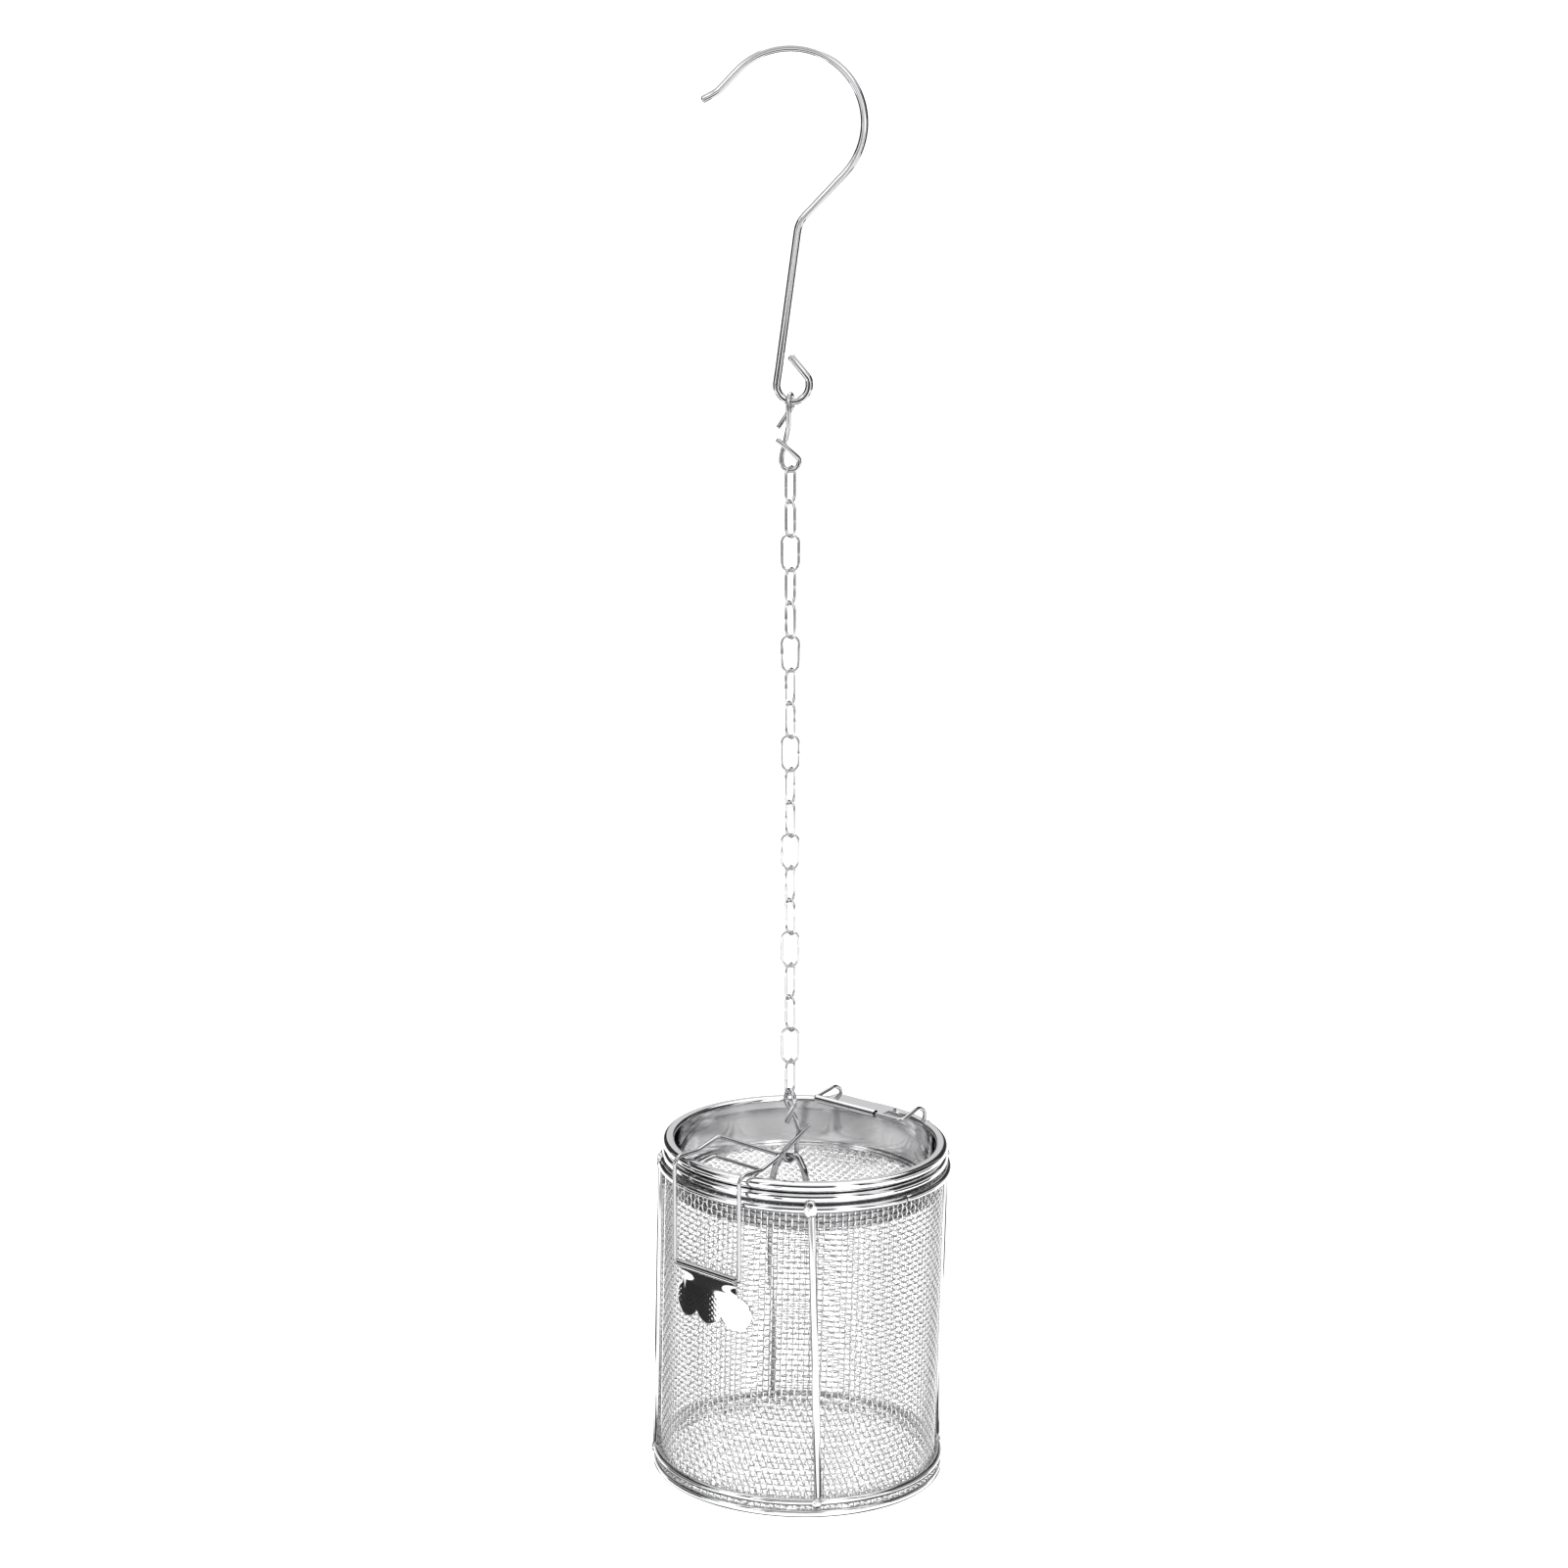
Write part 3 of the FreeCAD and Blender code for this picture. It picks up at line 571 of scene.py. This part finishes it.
def lid_handle():
    handle = joint_place("handle_swing")
    foot_x, top, foot = 5.2, 84.7, PLUG_FLOOR + 0.85
    corners = [
        ((-foot_x, 0, foot), 0), ((-foot_x + 1.3, 0, top - 3.4), 2.5), ((-2.1, 0, top), 2.5),
        ((2.1, 0, top), 2.5), ((foot_x - 1.3, 0, top - 3.4), 2.5), ((foot_x, 0, foot), 0),
    ]
    spot = BASKET.inverted() @ (handle * MM)
    place = BASKET @ Matrix.Translation((spot.x, spot.y, 0)) @ spin(-24.0)
    feet = [blob((s * foot_x, 0, foot + 0.25), (1.35, 1.25, 0.5), 40 + s) for s in (-1, 1)]
    arch = wire(corners, HANDLE_WIRE, 20, 8)
    piece("lid_handle_wire", [arch] + feet, "hook_wire", "lid", ["lid_handle"], place)


def rolled_sheet(start, end):
    """The (y, z) outsides and insides of a sheet rolled into a barrel from angle start to end, in degrees."""
    angles = np.radians(np.linspace(start, end, int(abs(end - start) / 12)))
    outer = [(BARREL_RADIUS * math.cos(a), BARREL_RADIUS * math.sin(a)) for a in angles]
    inner = [(BARREL_BORE * math.cos(a), BARREL_BORE * math.sin(a)) for a in angles]
    return outer, inner


def hinge_leaf():
    """A tab on the lid's bead, rolled into a barrel round the hinge wire."""
    centre, root = -5.8, 9.3
    outer, inner = rolled_sheet(-90, 215)
    outline = [(root, -BARREL_RADIUS)] + outer + inner[::-1] + [(root, -BARREL_BORE)]
    outline = [(LEAF_REACH + a, LEAF_Z + b) for a, b in outline]
    tab = prism(outline, centre - BARREL_HALF, centre + BARREL_HALF)
    piece("hinge_leaf_sheet", [tab], "polished_sheet", "lid", ["hinge_leaf"], BASKET @ polar(HINGE_AZIMUTH))


def hinge_loop():
    eye = (PIN_WIRE + CLIP_WIRE) / 2 + WIRE_GAP
    y, z = HINGE_REACH, HINGE_Z

    def arm(x, lean):
        return [
            ((x - lean, LEAF_REACH, LEAF_Z), 1.2), ((x, 33.4, 91.8), 3.0), ((x, y - eye, 90.4), 1.3),
            ((x, y - eye, z - eye), eye * 0.98), ((x, y + eye, z - eye), eye * 0.98),
            ((x, y + eye, z + eye), eye * 0.98), ((x, y - 0.3, z + eye), 0),
        ]

    corners = arm(HINGE_EYES[0], 0.6)[::-1] + arm(HINGE_EYES[1], -0.6)
    loop = wire(corners, CLIP_WIRE, 16, 10)
    piece("hinge_loop_wire", [loop], "hook_wire", "lid", ["hinge_wire"], BASKET @ polar(HINGE_AZIMUTH))


def lid_catch():
    corners = [
        ((-9.2, 32.5, 87.6), 0), ((-8.6, 27.2, 89.0), 1.0), ((7.2, 27.2, 89.0), 1.0), ((8.2, 32.7, 87.6), 0),
    ]
    beads = [blob((x, 33.15, 87.5), (0.8, 0.55, 0.7), 50 + i) for i, x in enumerate((-9.2, 8.2))]
    loop = [wire(corners, CATCH_WIRE, 14, 12)] + beads
    piece("catch_wire", loop, "hook_wire", "lid", ["lid_catch"], BASKET @ polar(LATCH_AZIMUTH))


# ---------------------------------------------------------------- basket

def band():
    """The rolled edge, and the skirt below it inside the weave, which is given a dark, rough copy of the
    sheet steel as painted shade.
    """
    edge = rounded([
        ((BAND_BORE, 83.8), 0.1), ((BAND_OUTER, 83.8), 1.1),
        ((BAND_OUTER, 86.4), 1.2), ((BAND_BORE, 86.4), 0.5),
    ], closed=True)
    skirt = rounded([
        ((BAND_BORE, 77.0), 0.1), ((BAND_BORE + SHEET, 77.0), 0.1), ((BAND_BORE + SHEET, 83.78), 0.1),
        ((BAND_BORE, 83.78), 0.1),
    ], closed=True)
    piece("band_edge", [lathe(edge)], "polished_sheet", "basket", ["basket_band"], BASKET)
    # the skirt gets the dark copy of the sheet steel, which is painted shade for the inside of the weave
    piece("band_skirt", [lathe(skirt)], "polished_sheet", "basket", ["basket_band"], BASKET, look="skirt")


def wall_weave():
    """Upright wires and level rings, each crimped over and under the other set."""
    half = MESH_WIRE / 2
    middle_radius = MESH_RADIUS - MESH_WIRE
    count = 2 * round(TAU * middle_radius / MESH_PITCH / 2)
    low, high = 3.0, 83.3
    rows = int((high - low) // ROW_PITCH)
    start = low + (high - low - rows * ROW_PITCH) / 2
    step = TAU / count

    def drift(a, z):
        """The weave is never quite even: rows sway by a tenth of a millimetre."""
        return 0.10 * np.sin(3 * a + z / 9) + 0.06 * np.sin(7 * a - z / 5)

    uprights = []
    for i in range(count):
        path = []
        for j in range(rows + 1):
            r = middle_radius + half * (1 if (i + j) % 2 else -1)
            path += [(r, start + (j + d) * ROW_PITCH) for d in (-0.2, 0.2)]
        path = np.array(path)
        a = i * step + 0.0012 * np.sin(path[:, 1] / 7 + i * 0.9)
        z = path[:, 1] + drift(i * step, path[:, 1])
        points = np.stack([path[:, 0] * np.sin(a), path[:, 0] * np.cos(a), z], axis=1)
        out = np.stack([np.sin(a), np.cos(a), 0 * a], axis=1)
        uprights.append(sweep(points, half, 6, out))
    levels = []
    for j in range(rows + 1):
        a = (np.arange(count)[:, None] + np.array([-0.2, 0.2])[None]).reshape(-1) * step
        sign = np.repeat(np.where((np.arange(count) + j) % 2, -1, 1), 2)
        r = middle_radius + half * sign
        z = start + j * ROW_PITCH + drift(a, start + j * ROW_PITCH)
        points = np.stack([r * np.sin(a), r * np.cos(a), z], axis=1)
        out = np.stack([np.sin(a), np.cos(a), 0 * a], axis=1)
        levels.append(sweep(points, half, 6, out, closed=True))
    for name, wires in (("warp", uprights), ("weft", levels)):
        cut = len(wires) // 2
        for tag, share in (("a", wires[:cut]), ("b", wires[cut:])):
            piece(f"wall_{name}_{tag}", share, "woven_mesh", "basket", ["basket_mesh"], BASKET)


def floor_weave():
    for name, wires in zip(("warp", "weft"), disc_weave(radius=37.5, height=2.34, turn=8.0)):
        piece(f"floor_{name}", wires, "woven_mesh", "basket", ["bottom_mesh"], BASKET)


def wire_ring(name, node_name, height, joint_azimuth):
    """A ring of wire whose two ends meet in a fine butt joint."""
    gap = math.radians(0.28)
    a = math.radians(joint_azimuth) + np.linspace(gap, TAU - gap, 289)
    path = np.stack([RING_RADIUS * np.sin(a), RING_RADIUS * np.cos(a), np.full_like(a, height)], axis=1)
    radius = np.full(len(a), RING_WIRE / 2)
    radius[[0, -1]] *= 0.86
    out = np.stack([np.sin(a), np.cos(a), 0 * a], axis=1)
    piece(name, [sweep(path, radius, 20, out)], "frame_wire", "basket", [node_name], BASKET)


def struts():
    reach = RING_RADIUS + 0.05
    foot = BOTTOM_RING_Z + RING_WIRE / 2 + WIRE_GAP
    head = TOP_RING_Z - RING_WIRE / 2 - WIRE_GAP
    for name, (low, high) in STRUTS.items():
        start = polar(low) @ Vector((0, reach, foot))
        end = polar(high) @ Vector((0, reach, head))
        run = wire([(start, 0), (end, 0)], RING_WIRE, 24)
        piece(f"strut_{name}_wire", [run], "frame_wire", "basket", [f"strut_{name}"], BASKET)


def weld_beads():
    beads = []
    for i, (low, high) in enumerate(STRUTS.values()):
        head = blob((0.4, RING_RADIUS + 0.45, TOP_RING_Z + 0.2), (1.7, 1.05, 2.3), i, 20, 28)
        foot = blob((0.4, RING_RADIUS + 0.5, BOTTOM_RING_Z - 0.2), (1.45, 1.0, 1.45), i + 10, 20, 28)
        beads += [moved(head, polar(high)), moved(foot, polar(low))]
    piece("weld_beads", beads, "weld", "basket", ["strut_welds"], BASKET)


def bottom_rim():
    corners = [((35.8, 0), 0.35), ((38.0, 0), 0.6), ((38.0, 1.9), 0.85), ((35.8, 1.9), 0.5)]
    outline = rounded(corners, closed=True)
    piece("rim_hem", [lathe(outline)], "polished_sheet", "basket", ["bottom_rim"], BASKET)


def hinge_staples():
    """Two wire staples on the band, one in each eye of the hinge loop."""
    y, z = HINGE_REACH, HINGE_Z

    def band_y(x):
        return math.sqrt(BAND_OUTER**2 - x**2) - 0.35

    shapes = []
    for i, eye in enumerate(HINGE_EYES):
        left, right = eye - 2.8, eye + 2.8
        corners = [
            ((left, band_y(left), z), 0), ((left, y, z), 0.8),
            ((right, y, z), 0.8), ((right, band_y(right), z), 0),
        ]
        shapes.append(wire(corners, PIN_WIRE, 14, 12))
        shapes += [blob((x, band_y(x) + 0.45, z), (0.95, 0.5, 0.7), 60 + i) for x in (left, right)]
    piece("hinge_staple_wires", shapes, "hook_wire", "basket", ["hinge_pin"], BASKET @ polar(HINGE_AZIMUTH))


def latch_plate():
    """A sheet rolled into a barrel above, with three round lobes below that are spot-welded to the weave."""
    reach, z = LATCH_REACH, LATCH_Z
    outer, inner = rolled_sheet(180, -130)
    outline = [(-BARREL_RADIUS, -1.5)] + outer + inner[::-1] + [(-BARREL_BORE, -1.5)]
    barrel = prism([(reach + a, z + b) for a, b in outline], -BARREL_HALF, BARREL_HALF)
    neck, low, lobe, pitch = 9.1, z - 9.6, 4.5, 8.2
    lobes = (-pitch, 0.0, pitch)

    def span(x):
        """Lowest and highest point of the plate at x."""
        deep = [math.sqrt(lobe**2 - (x - c) ** 2) for c in lobes if abs(x - c) < lobe]
        if abs(x) <= neck:
            return min(low - max(deep, default=0), z - 9.2), z - 0.9
        return low - deep[0], low + deep[0]

    ends = [pitch + lobe * math.sin(math.radians(t)) for t in np.linspace(12, 88, 20)]
    xs = [-x for x in reversed(ends)] + list(np.linspace(-neck, neck, 92)) + ends
    across = np.linspace(0, 1, 60)
    face, back = [], []
    for x in xs:
        bottom, top = span(x)
        for t in across:
            h = bottom + (top - bottom) * t
            rise = min(max((h - (z - 5.0)) / 3.5, 0), 1)
            rise = rise * rise * (3 - 2 * rise)
            curved = math.sqrt((MESH_RADIUS + 0.1) ** 2 - x**2)
            y = curved + (reach - BARREL_RADIUS - curved) * rise
            dent = 0.0
            for c in lobes:
                off = math.hypot(x - c, h - low)
                if off < lobe - 0.4:
                    fade = min(1, (lobe - 0.4 - off) / 0.6)
                    dent = fade * max(0, math.cos(TAU * x / MESH_PITCH) * math.cos(TAU * h / ROW_PITCH)) ** 2
            edge = min(t, 1 - t) * (top - bottom)
            crown = 0.06 * min(1, edge / 0.5)
            face.append((x, y + 0.42 + crown - 0.03 * dent, h))
            back.append((x, y, h))
    shape = (len(xs), len(across), 3)
    plate = sheet_of(np.array(face).reshape(shape), np.array(back).reshape(shape))
    place = BASKET @ polar(LATCH_AZIMUTH)
    piece("latch_plate_sheet", [barrel, plate], "polished_sheet", "basket", ["latch_plate"], place)


def latch_bail():
    half, reach = 10.9, LATCH_REACH

    def side(sign):
        return [
            ((sign * 0.15, reach, LATCH_Z), 0), ((sign * half, reach, LATCH_Z), 1.2),
            ((sign * half, 38.2, 90.3), 2.2), ((sign * half, 29.4, 90.1), 2.5),
            ((sign * (half - 0.4), 22.0, 92.2), 1.1),
        ]

    corners = side(1) + side(-1)[::-1]
    piece("latch_bail_wire", [wire(corners, CLIP_WIRE, 16, 10)], "hook_wire", "bail", ["latch_bail"],
          BASKET @ polar(LATCH_AZIMUTH))


# ---------------------------------------------------------------- stage, light, camera

def flat_material(name, colour, emission=0.0):
    material = bpy.data.materials.new(name)
    material.use_nodes = True
    tree = material.node_tree
    shader = tree.nodes["Principled BSDF"]
    shader.inputs["Roughness"].default_value = 0.8
    shader.inputs["Emission Strength"].default_value = emission
    shader.inputs["Emission Color"].default_value = (1, 1, 1, 1)
    speckle = node(tree, "ShaderNodeTexNoise", Scale=40.0, Detail=2.0)
    mix = node(tree, "ShaderNodeMixRGB")
    mix.inputs["Color1"].default_value = (*colour, 1)
    mix.inputs["Color2"].default_value = (*[c * 0.97 for c in colour], 1)
    tree.links.new(speckle.outputs["Fac"], mix.inputs["Fac"])
    tree.links.new(mix.outputs["Color"], shader.inputs["Base Color"])
    return material


def stage_plane(name, size, place, material):
    w, h = size[0] / 2, size[1] / 2
    mesh = bpy.data.meshes.new(name)
    mesh.from_pydata([(-w, -h, 0), (w, -h, 0), (w, h, 0), (-w, h, 0)], [], [(0, 1, 2, 3)])
    mesh.materials.append(material)
    made = bpy.data.objects.new(name, mesh)
    bpy.context.scene.collection.objects.link(made)
    made.matrix_world = place
    return made


def reflected_only(card):
    """The card shows in the steel and nowhere else."""
    card.visible_camera = False
    card.visible_diffuse = False
    card.visible_shadow = False


def facing(azimuth, distance, height):
    """Place of an upright card that faces the part. Its azimuth is from the camera's side towards +X."""
    a = math.radians(azimuth)
    spot = Vector((distance * math.sin(a), -distance * math.cos(a), height))
    look = Vector((-math.sin(a), math.cos(a), 0))
    return Matrix.Translation(spot) @ look.to_track_quat("Z", "Y").to_matrix().to_4x4()


def studio():
    """A pale floor, soft lamps, and dark cards close by whose reflections draw the steel's dark lines."""
    floor_z = cad_box[0].z - 0.08
    pale = flat_material("floor", (0.93, 0.93, 0.93), 0.5)
    stage_plane("floor", (60, 60), Matrix.Translation((0, 0, floor_z)), pale)
    dark = flat_material("dark_card", (0.01, 0.01, 0.01))
    ground, low_top = floor_z + 0.001, cad_box[0].z + 0.03
    high_foot, high_top = cad_box[0].z + 0.13, cad_box[1].z + 0.15
    near, far = 0.20, 0.42
    # (azimuth, distance, width, foot height, top height)
    cards = (
        (-95, far, 0.30, ground, low_top),
        (-20, far, 0.05, ground, low_top),
        (94, far, 0.34, ground, low_top),
        (-100, far, 0.44, high_foot, high_top),
        (100, far, 0.44, high_foot, high_top),
        (-150, far, 0.30, high_foot, high_top),
        (150, far, 0.30, high_foot, high_top),
        (-42, far, 0.11, high_foot, high_top),
        (48, far, 0.09, high_foot, high_top),
        (0, near, 0.20, cad_box[0].z + 0.12, cad_box[1].z - 0.09),
    )
    for i, (azimuth, away, wide, low, high) in enumerate(cards):
        card = stage_plane(f"card_{i}", (wide, high - low), facing(azimuth, away, (low + high) / 2), dark)
        reflected_only(card)
    for name, size, x, y in (("card_under", (0.3, 0.3), 0, 0.05), ("card_latch", (0.24, 0.30), -0.36, 0.03)):
        reflected_only(stage_plane(name, size, Matrix.Translation((x, y, ground)), dark))
    world = bpy.data.worlds.new("studio")
    bpy.context.scene.world = world
    world.use_nodes = True
    tree = world.node_tree
    sky = tree.nodes["Background"]
    height = node(tree, "ShaderNodeSeparateXYZ")
    tree.links.new(node(tree, "ShaderNodeTexCoord").outputs["Generated"], height.inputs[0])
    tree.links.new(remap(tree, height.outputs["Z"], (0.1, 0.7), (0.6, 1.1)), sky.inputs["Strength"])
    sky.inputs["Color"].default_value = (1, 1, 1, 1)
    # (name, azimuth, distance, height, size, watts)
    lamps = (
        ("key", -48, 1.7, 0.5, (0.9, 1.5), 9),
        ("fill", 36, 1.7, 0.4, (0.9, 1.5), 8),
        ("top", 170, 0.6, 1.4, (1.5, 1.5), 9),
    )
    for name, azimuth, distance, height, size, power in lamps:
        light = bpy.data.lights.new(name, "AREA")
        light.shape = "RECTANGLE"
        light.size, light.size_y = size
        light.energy = power
        lamp = bpy.data.objects.new(name, light)
        bpy.context.scene.collection.objects.link(lamp)
        a = math.radians(azimuth)
        spot = Vector((distance * math.sin(a), -distance * math.cos(a), height))
        aim = Vector((0, 0, cad_box[0].z + 0.05)) - spot
        lamp.matrix_world = Matrix.Translation(spot) @ aim.to_track_quat("-Z", "Y").to_matrix().to_4x4()


def camera():
    data = bpy.data.cameras.new("camera")
    data.sensor_width = 36.0
    data.lens = 91.38
    data.clip_start, data.clip_end = 0.05, 60.0
    made = bpy.data.objects.new("camera", data)
    bpy.context.scene.collection.objects.link(made)
    made.location = (-0.00158, -0.9808, 0.0504)
    made.rotation_euler = (math.radians(90 - 13.364), 0, 0)
    bpy.context.scene.camera = made


# ---------------------------------------------------------------- all of it

camera()
pot_hook()
s_hooks()
for number in range(1, LINK_COUNT + 1):
    chain_link(number)
lid_collar()
lid_hem()
lid_weave()
lid_handle()
hinge_leaf()
hinge_loop()
lid_catch()
band()
wall_weave()
floor_weave()
wire_ring("top_ring_wire", "top_ring", TOP_RING_Z, 137.0)
wire_ring("bottom_ring_wire", "bottom_ring", BOTTOM_RING_Z, 20.0)
struts()
weld_beads()
bottom_rim()
hinge_staples()
latch_plate()
latch_bail()
studio()
bpy.context.scene.view_settings.view_transform = "Standard"
